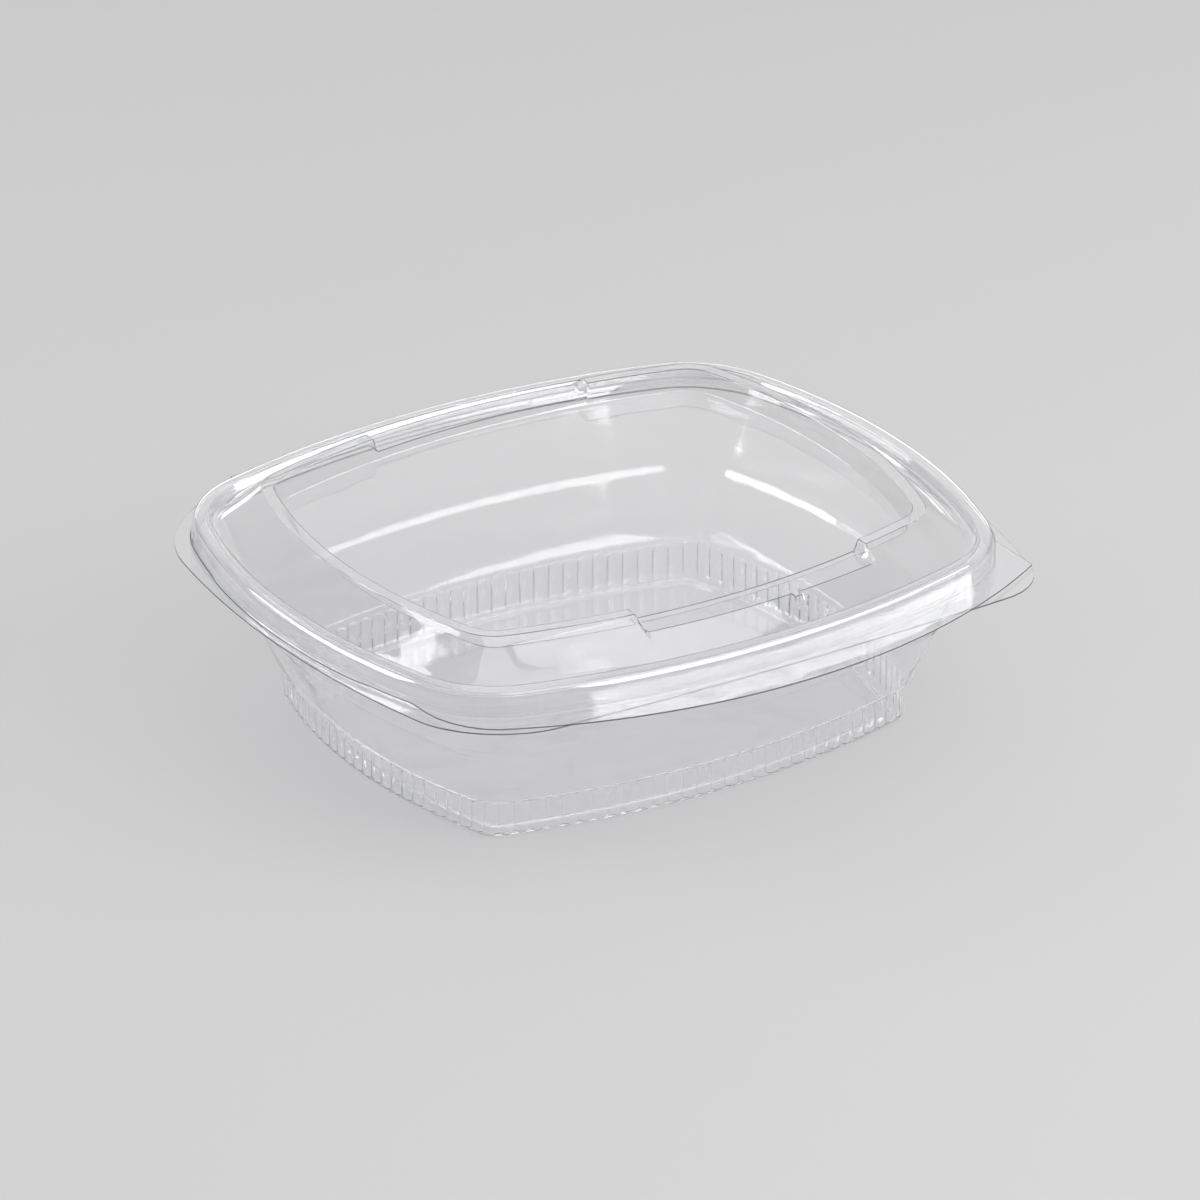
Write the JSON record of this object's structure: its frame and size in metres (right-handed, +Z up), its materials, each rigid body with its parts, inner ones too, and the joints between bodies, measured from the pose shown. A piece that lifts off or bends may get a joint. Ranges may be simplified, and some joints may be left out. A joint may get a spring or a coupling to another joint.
{
  "type": "hinged-lid clear plastic food pack",
  "caption": "Clear thermoformed food tub with a fluted foot and a hinged snap lid that folds back along its long rear edge.",
  "frame": {"origin": "centre of the foot, on the surface the pack stands on", "axes": "+X along the long side, +Z up, -Y towards the front lip, +Y towards the fold"},
  "size_m": [0.192, 0.1774, 0.0587],
  "materials": {
    "clear_sheet": "gloss"
  },
  "bodies": {
    "tub": {"base_tub": "clear_sheet"},
    "lid": {"lid": "clear_sheet"}
  },
  "joints": [
    {"name": "lid_fold", "type": "hinge", "parent": "tub", "child": "lid", "pos_m": [0, 0.08415, 0.0446], "axis": [-1, 0, 0], "range_deg": [0, 180]}
  ]
}
